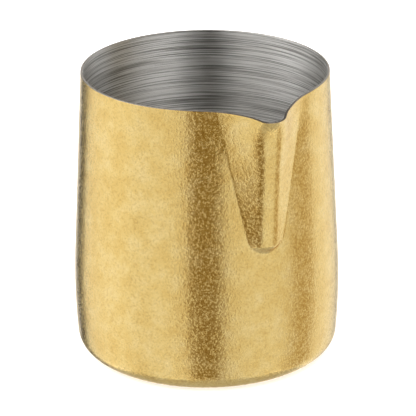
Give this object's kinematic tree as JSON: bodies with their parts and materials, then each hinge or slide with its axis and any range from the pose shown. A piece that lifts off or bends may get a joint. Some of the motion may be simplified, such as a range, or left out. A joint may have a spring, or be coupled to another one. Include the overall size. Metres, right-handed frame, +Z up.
{
  "type": "milk frothing jug",
  "caption": "Small handleless jug for frothing and pouring milk, with a pressed spout, a brass-coloured outside and a bare steel inside.",
  "frame": {"origin": "on the jug's axis, in the plane that its standing ring rests on", "axes": "+Z up along the jug's axis, +X towards the pouring spout"},
  "size_m": [0.0873, 0.0824, 0.09],
  "materials": {
    "brass_coat": "tumbled brass-coloured metal coat, satin with fine random scratches",
    "steel_body": "brushed round the axis inside, bare cut edge at the rim"
  },
  "bodies": {
    "root": {"brass_coat": "brass_coat", "steel_body": "steel_body"}
  },
  "joints": []
}
